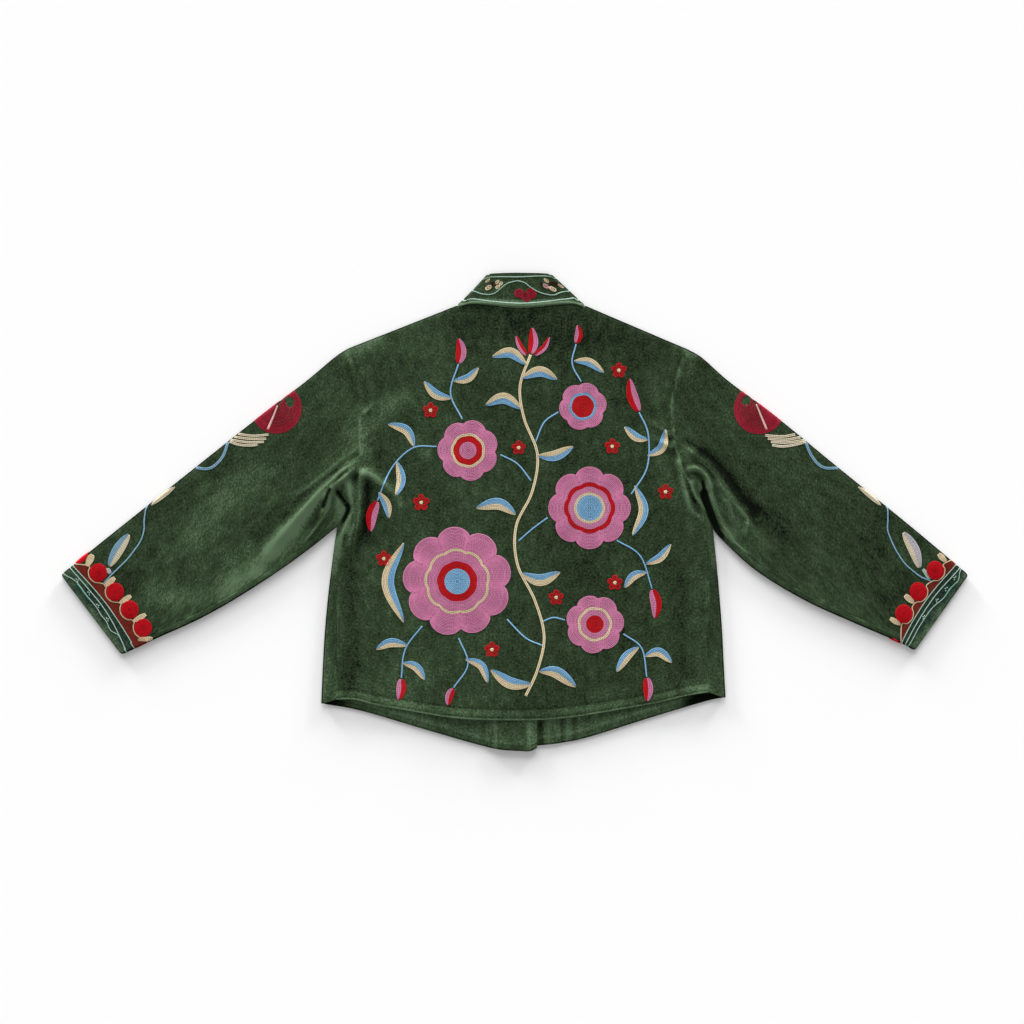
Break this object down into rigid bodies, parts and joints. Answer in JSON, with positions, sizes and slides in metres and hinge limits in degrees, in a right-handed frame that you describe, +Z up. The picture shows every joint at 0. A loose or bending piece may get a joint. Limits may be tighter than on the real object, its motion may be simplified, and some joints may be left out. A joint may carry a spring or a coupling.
{
  "type": "suzani jacket",
  "caption": "Embroidered velvet jacket with stand collar, set-in sleeves and cuff bands, buttoned at the front and laid flat on its front with its back up.",
  "frame": {"origin": "on the surface the jacket lies on, in the middle of its outline", "axes": "+X from the wearer's left cuff to the right cuff as the back is seen from above, +Y from the hem to the collar, +Z up from the surface"},
  "size_m": [1.3598, 0.7156, 0.0205],
  "materials": {
    "green_velvet": "dark moss green cotton velvet with a soft brushed nap",
    "cuff_velvet": "dark blue green cotton velvet",
    "embroidery_thread": "silky chain stitch in pink, red, sky blue, cream and pale green",
    "sewing_thread": "green sewing thread",
    "button": "dark horn look, satin"
  },
  "bodies": {
    "root": {"back": "green_velvet", "front_left": "green_velvet", "front_right": "green_velvet", "facing_left": "green_velvet", "facing_right": "green_velvet", "sleeve_left": "green_velvet", "sleeve_right": "green_velvet", "cuff_left": "cuff_velvet", "cuff_right": "cuff_velvet", "collar": "green_velvet", "button_1": "button", "button_2": "button", "button_3": "button", "button_4": "button", "button_5": "button"}
  },
  "joints": []
}
